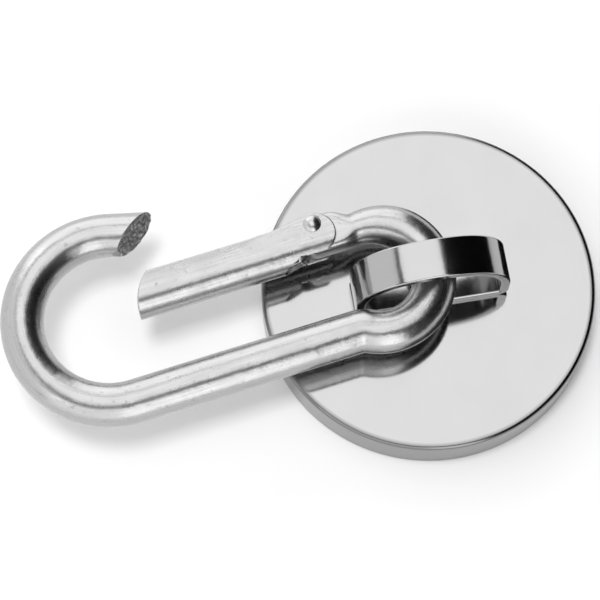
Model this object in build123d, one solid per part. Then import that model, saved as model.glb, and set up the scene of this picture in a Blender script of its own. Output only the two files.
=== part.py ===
from build123d import *
import math
import os

# Magnet for fishing and retrieving: a pot magnet, a bent strap riveted to its back, and a spring snap hook
# linked through the strap. Millimetres. The origin is the centre of the magnet's working face, +Z points out
# of the back of the pot, and +X runs along the hook from its bow to its eye.

# ---- pot -----------------------------------------------------------------------------------------------------
pot_radius = 30.0
pot_height = 9.0
pot_edge_radius = 0.7
pot_mouth_chamfer = 0.4
cup_wall = 2.8
cup_base = 3.2
magnet_radius = 26.0
magnet_bore_radius = 10.0

# ---- strap and its rivet -------------------------------------------------------------------------------------
strap_width = 7.1
strap_thickness = 1.7
strap_half_span = 13.85
strap_height = 16.6
strap_crown_radius = 20.0
strap_shoulder_radius = 10.5
strap_corner_radius = 1.9
strap_seam = 0.4
strap_yaw = -8.4                      # degrees about Z, from the hook's long axis
strap_rivet_radius = 2.5
rivet_play = 0.06                     # running clearance of both rivets
rivet_head_radius = 3.4
rivet_head_height = 1.7
rivet_tail_radius = 4.2
rivet_tail_height = 1.4
washer_radius = 6.0
washer_thickness = 1.0

# ---- hook frame, drawn in its own plane ----------------------------------------------------------------------
rod_radius = 3.85
hook_plane_z = 17.0
bow_centre = (-56.15, 9.2)
bow_radius = 15.5
nose_angle = -15.0                    # degrees, the way the nose runs from the top of the bow
nose_length = 4.9
nose_face_turn = -51.5                # degrees, the cropped face's normal in the hook's plane
nose_face_lift = 11.0                 # degrees, the same normal above that plane
nose_nick_turn = -96.0
nose_nick_setback = 3.2
eye_centre = (-9.05, 1.9)
eye_radius = 9.85
crease_radius = 5.0                   # short reverse bend between the long bar and the eye
taper_start = 40.0                    # degrees round the eye, where the rod begins to be drawn down
taper_end = 97.0
taper_sections = 5
neck_radius = 2.9
taper_dip = 0.8                       # how far the taper pulls the eye's outside in
tongue_thickness = 5.2
tongue_width = 5.2

# ---- gate ----------------------------------------------------------------------------------------------------
pivot = (-17.5, 14.0)
pivot_rivet_radius = 1.0
pivot_head_radius = 1.6
pivot_head_height = 0.8
tongue_tip_radius = 2.0
gate_sheet = 1.1
gate_axis_y = 11.4                    # centre of the gate's rounded back
gate_edge_y = 14.8                    # open edges of the gate's cheeks
gate_tip_back = (-51.05, 7.4)
gate_tip_edge = (-47.75, 14.8)
gate_tip_bulge = 0.9                  # how far the rounded tip stands past the chord between those two
ear_centre = (-17.45, 12.3)
ear_radius = 3.65
ear_start_x = -25.0
ear_root = 0.5                        # length of the square root that each ear is drawn out from
tip_margin = 1.0                      # extra sheet past the tip, which the rounded cut removes
back_end = (-21.0, 8.93)              # the rounded back stops here, short of the tongue's heel
back_slant = (5.0, 2.0)               # and below that its end runs back along X over this drop along Y
stop_tab_x = -37.1
stop_tab_gap = 0.25

# ---- plunger and spring --------------------------------------------------------------------------------------
spring_axis_y = 11.2
heel_radius = 2.2
heel_gap = 0.08
plunger_nose_radius = 0.9
plunger_nose_length = 1.6
plunger_collar_radius = 2.1
plunger_collar_length = 1.0
plunger_stem_radius = 1.25
plunger_stem_length = 7.0
spring_radius = 1.8
spring_wire_radius = 0.3
spring_turns = 9
spring_end_gap = 0.05

# ---- values worked out from those above ----------------------------------------------------------------------
cup_cavity = pot_height - cup_base
bar_y = bow_centre[1] - bow_radius
strap_base_top = pot_height + strap_thickness
gate_outer = rod_radius
gate_inner = gate_outer - gate_sheet
LONG = 40.0                           # longer than any piece that a cutting block has to pass through


def disc(radius, low, high, at=(0.0, 0.0)):
    """A round plate or pin along Z between two heights."""
    return Pos(at[0], at[1], low) * extrude(Circle(radius), high - low)


def block(low, high):
    """A box from its lowest corner to its highest."""
    size = [b - a for a, b in zip(low, high)]
    return Pos(*low) * Box(*size, align=(Align.MIN, Align.MIN, Align.MIN))


def pin_along_x(radius, start, length):
    """A round pin on the spring's line that runs from start towards the gate's tip."""
    face = Plane(origin=(start, spring_axis_y, 0), x_dir=(0, 1, 0), z_dir=(-1, 0, 0)) * Circle(radius)
    return extrude(face, length)


def dome(radius, height, z, at, up):
    """A low rivet head: a slice of a ball that stands on height z and points up or down."""
    ball = (radius**2 + height**2) / (2 * height)
    cap = Pos(at[0], at[1], z + up * (height - ball)) * Sphere(ball)
    reach = (z, z + height) if up > 0 else (z - height, z)
    return cap & disc(radius, *reach, at)


def in_hook_plane(shape):
    """Lifts a shape drawn in the hook's own plane to the height where the hook lies."""
    return Pos(0, 0, hook_plane_z) * shape


# ---- pot magnet ----------------------------------------------------------------------------------------------
def steel_cup():
    body = disc(pot_radius, 0, pot_height)
    body = fillet(body.edges().group_by(Axis.Z)[-1], pot_edge_radius)
    body = chamfer(body.edges().group_by(Axis.Z)[0], pot_mouth_chamfer)
    body -= disc(pot_radius - cup_wall, 0, cup_cavity)
    return body - disc(strap_rivet_radius, 0, pot_height)


def ring_magnet():
    return disc(magnet_radius, 0, cup_cavity) - disc(magnet_bore_radius, 0, cup_cavity)


def potting_ring():
    return disc(pot_radius - cup_wall, 0, cup_cavity) - disc(magnet_radius, 0, cup_cavity)


def rivet_washer():
    low = cup_cavity - washer_thickness
    return disc(washer_radius, low, cup_cavity) - disc(strap_rivet_radius, low, cup_cavity)


def strap_rivet():
    tail_top = cup_cavity - washer_thickness
    seat = strap_base_top + rivet_play
    rivet = disc(strap_rivet_radius, tail_top, seat)
    rivet += disc(rivet_tail_radius, tail_top - rivet_tail_height, tail_top)
    return rivet + dome(rivet_head_radius, rivet_head_height, seat, (0, 0), 1)


def centre_plug():
    plug = disc(magnet_bore_radius, 0, cup_cavity)
    return plug - rivet_washer() - strap_rivet()


# ---- strap ---------------------------------------------------------------------------------------------------
def d_outline(inset):
    """A D on its flat side, drawn this far inside the strap's outer face: a crown, two shoulders, two corners."""
    half_span, shoulder = strap_half_span - inset, strap_shoulder_radius - inset
    corner, low = strap_corner_radius - inset, pot_height + inset
    crown_z = pot_height + strap_height - strap_crown_radius
    shoulder_x = strap_half_span - strap_shoulder_radius
    reach = strap_crown_radius - strap_shoulder_radius
    shoulder_z = crown_z + math.sqrt(reach**2 - shoulder_x**2)
    lean = math.degrees(math.acos(shoulder_x / reach))
    foot_x = half_span - corner
    return make_face(
        [
            CenterArc((shoulder_x, shoulder_z), shoulder, 0, lean),
            CenterArc((0, crown_z), strap_crown_radius - inset, lean, 180 - 2 * lean),
            CenterArc((-shoulder_x, shoulder_z), shoulder, 180 - lean, lean),
            Line((-half_span, shoulder_z), (-half_span, low + corner)),
            CenterArc((-foot_x, low + corner), corner, 180, 90),
            Line((-foot_x, low), (foot_x, low)),
            CenterArc((foot_x, low + corner), corner, 270, 90),
            Line((half_span, low + corner), (half_span, shoulder_z)),
        ]
    )


def strap_loop():
    """A strip bent to a closed D, with its ends meeting at a seam in the base and a hole for the rivet."""
    strip = extrude(Plane.XZ * (d_outline(0) - d_outline(strap_thickness)), strap_width / 2, both=True)
    through = strap_base_top + strap_thickness
    strip -= disc(strap_rivet_radius + rivet_play, 0, through)
    strip -= block((-strap_seam / 2, -LONG, 0), (strap_seam / 2, LONG, through))
    return Rot(0, 0, strap_yaw) * strip


# ---- hook frame ----------------------------------------------------------------------------------------------
def rod_path():
    """Centreline from the top of the bow round to the eye's taper: arcs and one straight, all tangent."""
    crease_drop = eye_centre[1] - bar_y + crease_radius
    crease_reach = eye_radius + crease_radius
    crease_x = eye_centre[0] - math.sqrt(crease_reach**2 - crease_drop**2)
    lean = math.degrees(math.asin(crease_drop / crease_reach))
    bow = CenterArc(bow_centre, bow_radius, 90 + nose_angle, 180 - nose_angle)
    bar = Line((bow_centre[0], bar_y), (crease_x, bar_y))
    crease = CenterArc((crease_x, bar_y - crease_radius), crease_radius, 90, lean - 90)
    eye = CenterArc(eye_centre, eye_radius, 180 + lean, 180 + taper_start - lean)
    return Wire([bow, bar, crease, eye])


def nose():
    """The straight end past the bow, cropped by a slanted shear, with its inner corner nicked off."""
    turn = math.radians(nose_angle)
    along = (math.cos(turn), math.sin(turn), 0)
    start = (bow_centre[0] - bow_radius * along[1], bow_centre[1] + bow_radius * along[0], 0)
    rod = extrude(Plane(origin=start, z_dir=along) * Circle(rod_radius), 2 * nose_length)
    centre = tuple(s + nose_length * a for s, a in zip(start, along))
    for angle, setback in ((nose_face_turn, 0), (nose_nick_turn, nose_nick_setback)):
        side = math.radians(angle)
        lift = math.radians(nose_face_lift)
        normal = (math.cos(side) * math.cos(lift), math.sin(side) * math.cos(lift), math.sin(lift))
        origin = tuple(c + setback * n for c, n in zip(centre, normal))
        rod = split(rod, bisect_by=Plane(origin=origin, z_dir=normal), keep=Keep.BOTTOM)
    return rod


def eye_section(step):
    """Round section of the taper: the rod is drawn down and the eye's outside pulled in a little."""
    share = step / (taper_sections - 1)
    radius = rod_radius + share * (neck_radius - rod_radius)
    reach = eye_radius + rod_radius - radius - share * taper_dip
    turn = math.radians(taper_start + share * (taper_end - taper_start))
    centre = (eye_centre[0] + reach * math.cos(turn), eye_centre[1] + reach * math.sin(turn), 0)
    return Plane(origin=centre, z_dir=(-math.sin(turn), math.cos(turn), 0)) * Circle(radius)


def neck_and_tongue():
    """The eye's end, drawn down to a neck and flattened to a tongue with a pivot hole and a round heel."""
    neck = loft([eye_section(step) for step in range(taper_sections)])
    root_x = eye_centre[0]
    root_y = eye_centre[1] + eye_radius + rod_radius - neck_radius - taper_dip
    high, low = root_y + tongue_width / 2, root_y - tongue_width / 2
    outline = Polygon(
        (root_x, high),
        (pivot[0], pivot[1] + tongue_tip_radius),
        (pivot[0] - tongue_tip_radius / 2, spring_axis_y),
        (pivot[0], spring_axis_y - heel_radius),
        (root_x, low),
        align=None,
    )
    outline += Pos(*pivot) * Circle(tongue_tip_radius)
    outline += Pos(pivot[0], spring_axis_y) * Circle(heel_radius)
    return neck + extrude(outline, tongue_thickness / 2, both=True)


def hook_frame():
    path = rod_path()
    start = Plane(origin=path @ 0, z_dir=path % 0)
    frame = sweep(start * Circle(rod_radius), path=path)
    frame += nose()
    frame += neck_and_tongue()
    frame -= disc(pivot_rivet_radius + rivet_play, -LONG, LONG, pivot)
    return in_hook_plane(frame)


# ---- gate ----------------------------------------------------------------------------------------------------
def gate_profile(half_height):
    """Section of the gate's outside or inside: a half-round back and two straight cheeks, as (y, z)."""
    reach = gate_edge_y - gate_axis_y
    shape = Pos(gate_axis_y, 0) * Circle(half_height)
    shape += Pos(gate_axis_y, 0) * Rectangle(reach, 2 * half_height, align=(Align.MIN, Align.CENTER))
    return shape & Pos(gate_edge_y, 0) * Rectangle(LONG, LONG, align=(Align.MAX, Align.CENTER))


def tip_keep():
    """The space that the gate's rounded tip is kept within: a cylinder, and all that lies on its hinge side."""
    along, across = (b - a for a, b in zip(gate_tip_back, gate_tip_edge))
    chord = math.hypot(along, across)
    radius = chord**2 / (8 * gate_tip_bulge) + gate_tip_bulge / 2
    inward = (across / chord, -along / chord)
    middle = [(a + b) / 2 for a, b in zip(gate_tip_back, gate_tip_edge)]
    centre = [m + (radius - gate_tip_bulge) * i for m, i in zip(middle, inward)]
    hinge_side = Plane(origin=(*centre, 0), x_dir=(*inward, 0), z_dir=(0, 0, 1)) * Box(
        2 * LONG, 2 * LONG, 2 * LONG, align=(Align.MIN, Align.CENTER, Align.CENTER)
    )
    return disc(radius, -LONG, LONG, centre) + hinge_side


def gate_channel():
    section = gate_profile(gate_outer) - gate_profile(gate_inner)
    section_x = gate_tip_back[0] - tip_margin
    section_plane = Plane(origin=(section_x, 0, 0), x_dir=(0, 1, 0), z_dir=(1, 0, 0))
    gate = extrude(section_plane * section, back_end[0] - section_x)
    slant = Polygon(
        back_end, (back_end[0], back_end[1] - back_slant[1]),
        (back_end[0] - back_slant[0], back_end[1] - back_slant[1]), align=None,
    )
    gate -= extrude(slant, LONG, both=True)
    ear = make_hull(
        (Pos(*ear_centre) * Circle(ear_radius)).edges()
        + (Pos(ear_start_x, gate_axis_y) * Rectangle(ear_root, 2 * (gate_edge_y - gate_axis_y))).edges()
    )
    rounded = extrude(section_plane * gate_profile(gate_outer), LONG)
    for low in (gate_inner, -gate_outer):
        plate = Pos(0, 0, low) * extrude(ear, gate_sheet)
        curl = block((ear_start_x, -LONG, low), (LONG, gate_axis_y, low + gate_sheet))
        gate += (plate - curl) + (plate & curl & rounded)
    tab = block(
        (stop_tab_x - gate_sheet, gate_axis_y - gate_inner + stop_tab_gap, -gate_inner + stop_tab_gap),
        (stop_tab_x, gate_edge_y, gate_inner),
    )
    gate += tab
    gate -= disc(pivot_rivet_radius, -LONG, LONG, pivot)
    return in_hook_plane(gate & tip_keep())


def gate_rivet():
    rivet = disc(pivot_rivet_radius, -gate_outer, gate_outer, pivot)
    rivet += dome(pivot_head_radius, pivot_head_height, gate_outer, pivot, 1)
    rivet += dome(pivot_head_radius, pivot_head_height, -gate_outer, pivot, -1)
    return in_hook_plane(rivet)


def gate_plunger():
    nose_start = pivot[0] - heel_radius - heel_gap
    collar_start = nose_start - plunger_nose_length
    stem_start = collar_start - plunger_collar_length
    plunger = pin_along_x(plunger_nose_radius, nose_start, plunger_nose_length)
    plunger += pin_along_x(plunger_collar_radius, collar_start, plunger_collar_length)
    plunger += pin_along_x(plunger_stem_radius, stem_start, plunger_stem_length)
    return in_hook_plane(plunger)


def gate_spring():
    collar_back = pivot[0] - heel_radius - heel_gap - plunger_nose_length - plunger_collar_length
    margin = spring_wire_radius + spring_end_gap
    length = collar_back - stop_tab_x - 2 * margin
    coil = Helix(pitch=length / spring_turns, height=length, radius=spring_radius)
    wire = sweep(Plane(origin=coil @ 0, z_dir=coil % 0) * Circle(spring_wire_radius), path=coil, is_frenet=True)
    return in_hook_plane(Pos(collar_back - margin, spring_axis_y, 0) * Rot(0, -90, 0) * wire)


NODES = {
    "steel_cup": steel_cup,
    "ring_magnet": ring_magnet,
    "potting_ring": potting_ring,
    "centre_plug": centre_plug,
    "rivet_washer": rivet_washer,
    "strap_loop": strap_loop,
    "strap_rivet": strap_rivet,
    "hook_frame": hook_frame,
    "gate_channel": gate_channel,
    "gate_rivet": gate_rivet,
    "gate_plunger": gate_plunger,
    "gate_spring": gate_spring,
}

os.makedirs("parts", exist_ok=True)
for name, make in NODES.items():
    export_step(make(), f"parts/{name}.step")
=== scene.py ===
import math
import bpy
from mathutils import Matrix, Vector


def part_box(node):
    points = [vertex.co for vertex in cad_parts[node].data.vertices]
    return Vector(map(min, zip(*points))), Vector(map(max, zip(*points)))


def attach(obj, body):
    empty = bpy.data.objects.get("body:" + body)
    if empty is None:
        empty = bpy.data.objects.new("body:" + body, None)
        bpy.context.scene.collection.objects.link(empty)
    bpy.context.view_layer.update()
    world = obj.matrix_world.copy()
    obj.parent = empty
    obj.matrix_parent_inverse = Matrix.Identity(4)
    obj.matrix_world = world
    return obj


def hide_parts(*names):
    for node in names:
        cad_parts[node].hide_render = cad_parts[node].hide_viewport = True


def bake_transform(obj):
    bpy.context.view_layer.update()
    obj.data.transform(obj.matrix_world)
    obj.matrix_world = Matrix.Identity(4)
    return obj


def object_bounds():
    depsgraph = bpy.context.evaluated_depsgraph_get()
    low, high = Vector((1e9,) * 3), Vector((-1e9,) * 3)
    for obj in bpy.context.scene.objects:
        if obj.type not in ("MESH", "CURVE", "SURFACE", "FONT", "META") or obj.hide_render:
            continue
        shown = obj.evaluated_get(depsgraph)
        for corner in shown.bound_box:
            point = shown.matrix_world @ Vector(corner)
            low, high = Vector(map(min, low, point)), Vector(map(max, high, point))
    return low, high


bl_info = {
    "name": "Fishing Magnet",
    "version": (1, 0, 0),
    "blender": (4, 5, 0),
    "location": "3D View > Sidebar > Magnet",
    "description": "Builds a pot magnet with its strap and spring snap hook around its packed frame",
    "category": "Add Mesh",
}

import bmesh
import bpy
import numpy as np
from bpy.props import FloatProperty, FloatVectorProperty, PointerProperty
from mathutils import Vector

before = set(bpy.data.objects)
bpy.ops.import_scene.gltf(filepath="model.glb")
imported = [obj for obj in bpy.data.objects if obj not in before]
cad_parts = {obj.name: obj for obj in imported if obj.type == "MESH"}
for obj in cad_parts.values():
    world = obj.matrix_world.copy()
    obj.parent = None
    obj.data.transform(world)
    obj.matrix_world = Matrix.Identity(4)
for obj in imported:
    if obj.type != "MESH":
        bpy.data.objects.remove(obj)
CAD_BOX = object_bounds()

MM = 0.001
MERGE = 1e-7  # points nearer than this are one point
CREASE = math.radians(42)  # faces that meet more sharply than this keep a hard edge
SPREAD_SEED = 7

CUP_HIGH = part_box("steel_cup")[1]
MAGNET_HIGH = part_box("ring_magnet")[1]
PLUG_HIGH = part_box("centre_plug")[1]
HOOK_LOW, HOOK_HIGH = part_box("hook_frame")
STRAP_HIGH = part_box("strap_loop")[1]
RIVET_LOW, RIVET_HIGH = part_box("strap_rivet")
PIN_LOW, PIN_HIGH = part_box("gate_rivet")
PLUNGER_LOW, PLUNGER_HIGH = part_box("gate_plunger")
SPRING_LOW, SPRING_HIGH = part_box("gate_spring")

HOOK_PLANE = (HOOK_LOW.z + HOOK_HIGH.z) / 2
POT_TOP = CUP_HIGH.z
PIVOT = np.array([(PIN_LOW.x + PIN_HIGH.x) / 2, (PIN_LOW.y + PIN_HIGH.y) / 2])
SPRING_LINE = (PLUNGER_LOW.y + PLUNGER_HIGH.y) / 2

# The strap's bend, in its own plane: half span, height, radii of crown, shoulders and corners.
STRAP_HALF_SPAN = 13.85 * MM
STRAP_CROWN = 20.0 * MM
STRAP_SHOULDER = 10.5 * MM
STRAP_CORNER = 1.9 * MM
STRAP_WIDTH = 7.1 * MM
STRAP_SEAM = 0.4 * MM
STRAP_YAW = math.radians(-8.4)
STRAP_HOLE = 2.56 * MM

# The hook's line: the bow, the bar, the crease and the eye, all in one plane.
BOW_CENTRE = np.array([-56.15, 9.2]) * MM
BOW_RADIUS = 15.5 * MM
NOSE_TURN = math.radians(-15.0)
FACE_TURN = math.radians(-51.5)
FACE_LIFT = math.radians(11.0)
NICK_TURN = math.radians(-96.0)
NICK_SETBACK = 3.2 * MM
EYE_CENTRE = np.array([-9.05, 1.9]) * MM
EYE_RADIUS = 9.85 * MM
CREASE_RADIUS = 5.0 * MM
TAPER_FROM = math.radians(40.0)
TAPER_TO = math.radians(97.0)
TAPER_DIP = 0.8 * MM

# The tongue's end: a lobe round the hinge pin and a heel that the plunger bears on.
LOBE_RADIUS = 2.0 * MM
LOBE_REACH = 1.7 * MM
HEEL_RADIUS = 2.2 * MM
TONGUE_MIDDLE = 12.5 * MM
TONGUE_HALF = 3.5 * MM
TONGUE_INSET = 0.05 * MM
TONGUE_THIN = 2.6 * MM  # half its thickness
TONGUE_RUN = 4.0 * MM  # distance over which the round neck turns flat

# The cropped nose: a soft ridge between its two planes, a rolled edge and torn metal inside it.
NOSE_RIDGE = 0.25 * MM
NOSE_ROLL = 0.32 * MM
ROLL_FROM = 0.9  # share of the radius where the rolled edge starts
TEAR_PITCH = 1.3 * MM

# The gate's sheet, in the hook's plane.
GATE_AXIS = 11.4 * MM
GATE_EDGE = 14.8 * MM
TIP_CENTRE = np.array([-41.48, 7.57]) * MM
TIP_RADIUS = 9.568 * MM
BACK_END = -21.0 * MM  # where the rounded back stops
BACK_SLANT = 2.5  # how far its end runs back along X for each unit below the cheeks
BACK_EDGE = 8.926 * MM  # where the cheeks pass into the rounded back
EAR_X = -25.0 * MM
EAR_CENTRE = np.array([-17.45, 12.3]) * MM
EAR_RADIUS = 3.65 * MM
EAR_LOW = 8.0 * MM
FLAT_RUN = 1.2 * MM  # distance over which the ears' inner faces turn flat
THINNEST = 0.12 * MM  # least thickness of the ears where they curl
CHEEK_STEPS = 34
BACK_STEPS = 58
TAB_X = -37.65 * MM
TAB_FOOT = 8.95 * MM
TAB_TALL = 5.8 * MM
TAB_LIFT = 0.3 * MM
SINK_RUN = 6.0 * MM  # distance over which the cheeks close in
COIL_DEAD = 0.4  # share of a turn at each end that lies flat
COIL_PRESS = 0.98  # pitch of the closed turns in wire diameters
COIL_GAP = 1.0 * MM  # gap between open turns
NOSE_CROWN = 0.35 * MM  # how far the plunger's nose rounds forward
CHEEK_SINK = 0.28 * MM  # how far the cheeks close in towards their open edges


def length(name, default, text):
    """A size given in millimetres, kept in metres and shown with its unit."""
    return FloatProperty(
        name=name, description=text, default=default * MM, min=0.0, precision=5, unit="LENGTH", subtype="DISTANCE"
    )


def share(name, default, text):
    """A plain amount between nothing and all."""
    return FloatProperty(name=name, description=text, default=default, min=0.0, max=1.0, subtype="FACTOR")


def colour(name, default, text):
    """A colour in linear light."""
    return FloatVectorProperty(
        name=name, description=text, default=default, min=0.0, max=1.0, size=3, subtype="COLOR"
    )


class PotSizes(bpy.types.PropertyGroup):
    """Sizes of the steel cup and what is set in it."""

    edge_round: length("Edge round", 0.7, "Radius of the pressed edge round the cup's back")
    mouth_chamfer: length("Mouth chamfer", 0.4, "Chamfer round the cup's mouth")
    wall: length("Wall", 2.8, "Thickness of the cup's wall")
    magnet_edge: length("Magnet edge", 0.35, "Round on the ring magnet's edges")
    magnet_bore: length("Magnet bore", 10.0, "Radius of the hole through the ring magnet")
    resin_dip: length("Resin dip", 0.3, "How far the poured resin sinks between its edges")
    resin_seat: length("Resin seat", 0.03, "How far in from the cup's mouth the resin's edge lies")
    recess: length("Recess", 6.05, "Radius of the hollow for the washer in the resin plug")
    recess_depth: length("Recess depth", 1.0, "Depth of that hollow")


class StrapSizes(bpy.types.PropertyGroup):
    """Sizes of the bent strap and of its rivet."""

    thickness: length("Thickness", 1.7, "Thickness of the strip")
    edge_round: length("Edge round", 0.3, "Round on the strip's long edges")
    rivet_shank: length("Rivet shank", 2.5, "Radius of the rivet's shank")
    rivet_head: length("Rivet head", 3.4, "Radius of the rivet's head")
    rivet_rise: length("Rivet rise", 1.7, "Height of the rivet's head")
    tail_radius: length("Tail", 4.2, "Radius of the rivet's flat tail")
    tail_height: length("Tail height", 1.4, "Thickness of the rivet's flat tail")
    tail_chamfer: length("Tail chamfer", 0.3, "Chamfer on the rivet's tail")


class HookSizes(bpy.types.PropertyGroup):
    """Sizes of the hook's rod."""

    rod: length("Rod", (HOOK_HIGH.z - HOOK_LOW.z) / 2 / MM, "Radius of the rod")
    neck: length("Neck", 2.9, "Radius that the rod is drawn down to")
    nose: length("Nose", 4.9, "Length of the straight end past the bow")
    tear: length("Tear", 0.22, "Roughness of the cropped face")


class GateSizes(bpy.types.PropertyGroup):
    """Sizes of the gate and of what moves with it."""

    sheet: length("Sheet", 1.1, "Thickness of the gate's sheet")
    edge_round: length("Edge round", 0.22, "Round on the sheet's edges")
    pin: length("Pin", 1.0, "Radius of the hinge rivet's shank")
    pin_head: length("Pin head", 1.6, "Radius of the hinge rivet's heads")
    wire: length("Spring wire", 0.3, "Radius of the spring's wire")
    nose: length("Plunger nose", 0.9, "Radius of the plunger's nose")
    nose_long: length("Nose length", 1.6, "Length of the plunger's nose")
    collar: length("Collar", 2.1, "Radius of the plunger's collar")
    collar_long: length("Collar length", 1.0, "Length of the plunger's collar")
    collar_chamfer: length("Collar chamfer", 0.15, "Chamfer on the collar's two edges")
    stem: length("Stem", 1.25, "Radius of the plunger's stem")
    stem_chamfer: length("Stem chamfer", 0.2, "Chamfer on the stem's end")
    turns: FloatProperty(name="Turns", description="Turns of the spring", default=10.0, min=4.0, max=20.0)


class FinishChoices(bpy.types.PropertyGroup):
    """Colours and wear of the finishes."""

    mirror: colour("Mirror plate", (0.40, 0.40, 0.40), "Polished plating of the cup and the strap")
    bright: colour("Bright plate", (0.44, 0.44, 0.44), "Tumbled plating of the hook and the gate")
    bare: colour("Bare metal", (0.45, 0.45, 0.45), "Torn metal on the cropped face")
    resin: colour("Resin", (0.018, 0.018, 0.020), "Poured resin round the magnet")
    wear: share("Wear", 0.5, "Scratches and dulled patches on the plating")
    gloss: share("Gloss", 0.08, "Roughness of the polished plating")


# ---- curves and grids ----
def eased(count):
    """Shares from 0 to 1 that crowd together at both ends: half of one less the cosine of a half turn."""
    return (1 - np.cos(np.linspace(0, np.pi, count))) / 2


def smooth(t):
    """A soft rise from 0 to 1: three times t squared less twice t cubed."""
    return t * t * (3 - 2 * t)


def gone_along(points):
    """The distance gone along a line of points at each of them."""
    return np.concatenate([[0], np.cumsum(np.linalg.norm(np.diff(points, axis=0), axis=1))])


def walked(start, heading, legs, stations):
    """Positions and headings along a line of arcs and straights that all meet smoothly.

    A leg is (length, turn). At distance s into it the line has turned by turn * s / length, and it stands off the
    leg's start by the chord s * sin(half) / half, where half is half that turn, in the direction heading + half.
    """
    spot, way, gone = np.array(start, float), heading, 0.0
    places = np.zeros((*np.shape(stations), 2))
    ways = np.zeros(np.shape(stations))
    for reach, turn in legs:
        inside = np.clip(stations - gone, 0, None)
        half = turn * inside / reach / 2
        chord = inside * np.sinc(half / np.pi)
        step = spot + chord[..., None] * np.stack([np.cos(way + half), np.sin(way + half)], -1)
        here = (stations >= gone)[..., None]
        places = np.where(here, step, places)
        ways = np.where(here[..., 0], way + 2 * half, ways)
        end = reach * np.sinc(turn / 2 / np.pi)
        spot = spot + end * np.array([math.cos(way + turn / 2), math.sin(way + turn / 2)])
        way, gone = way + turn, gone + reach
    return places, ways


def rounded(corners, radii, steps=7, between=6):
    """A closed outline whose corners are rounded, with its first point again at the end.

    Each corner gives way to an arc that touches both sides: its centre stands radius / sin(half the corner's
    angle) from the corner, along the line that halves it. Each side gets points that crowd towards its ends.
    """
    corners = np.array(corners, float)
    before = np.roll(corners, 1, 0) - corners
    after = np.roll(corners, -1, 0) - corners
    before /= np.linalg.norm(before, axis=1)[:, None]
    after /= np.linalg.norm(after, axis=1)[:, None]
    half = np.arccos(np.clip((before * after).sum(1), -1, 1)) / 2
    radii = np.array(radii, float)
    tangent = (radii / np.tan(half))[:, None]
    middle = before + after
    middle /= np.linalg.norm(middle, axis=1)[:, None]
    centre = corners + middle * (radii / np.sin(half))[:, None]
    first, last = corners + before * tangent - centre, corners + after * tangent - centre
    open_angle = np.pi - 2 * half
    t = np.linspace(0, 1, steps)[None, :, None]
    w = open_angle[:, None, None]
    arcs = centre[:, None] + (np.sin((1 - t) * w) * first[:, None] + np.sin(t * w) * last[:, None]) / np.sin(w)
    ends = np.roll(arcs[:, 0], -1, 0)
    t = eased(between + 2)[None, 1:-1, None]
    sides = arcs[:, -1][:, None] * (1 - t) + ends[:, None] * t
    loop = np.concatenate([arcs, sides], 1).reshape(-1, 2)
    return np.vstack([loop, loop[:1]])


def turned(profile, axis, around=192, along_x=False):
    """A profile of (distance from the axis, place along it) turned round an axis parallel to Z, or to X."""
    angle = np.linspace(0, 2 * np.pi, around + 1)
    reach, place = profile[:, :1], profile[:, 1:]
    across, up = reach * np.cos(angle), reach * np.sin(angle)
    along = place * np.ones_like(across)
    line = gone_along(profile)
    widest = profile[:, 0].max()
    flow = np.stack(np.broadcast_arrays(angle * widest, line[:, None]), -1)
    if along_x:
        return np.stack([along, axis[0] + across, axis[1] + up], -1), flow
    return np.stack([axis[0] + across, axis[1] + up, along], -1), flow


def carried(centre, side, up, half_side, half_up, power, around=96):
    """A rounded section carried along a line.

    The section at each station is centre + side * a * c + up * b * s, where a and b are its half sizes and c and s
    are the cosine and sine of the angle round it, each raised to 2 / power with its sign kept. Power 2 is an
    ellipse, and a higher one is squarer.
    """
    angle = np.linspace(0, 2 * np.pi, around + 1)
    bend = (2 / np.asarray(power, float) * np.ones(len(centre)))[:, None]
    c = np.sign(np.cos(angle)) * np.abs(np.cos(angle)) ** bend
    s = np.sign(np.sin(angle)) * np.abs(np.sin(angle)) ** bend
    c[:, -1], s[:, -1] = c[:, 0], s[:, 0]
    a = (half_side * np.ones(len(centre)))[:, None, None]
    b = (half_up * np.ones(len(centre)))[:, None, None]
    points = centre[:, None] + side[:, None] * a * c[..., None] + up[:, None] * b * s[..., None]
    line = gone_along(centre)
    flow = np.stack(np.broadcast_arrays(line[:, None], angle * a.max()), -1)
    return points, flow


def ripple(u, v, size, height, waves=14):
    """Unevenness with no direction: a sum of waves across (u, v), each with its own seeded way, length and phase."""
    chance = np.random.default_rng(SPREAD_SEED)
    way = chance.uniform(0, 2 * np.pi, waves)
    pitch = size * chance.uniform(0.5, 1.8, waves)
    phase = chance.uniform(0, 2 * np.pi, waves)
    total = np.zeros(np.shape(u))
    for a, p, f in zip(way, pitch, phase):
        total = total + np.sin(2 * np.pi * (u * math.cos(a) + v * math.sin(a)) / p + f)
    return height * total / math.sqrt(waves)


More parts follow.
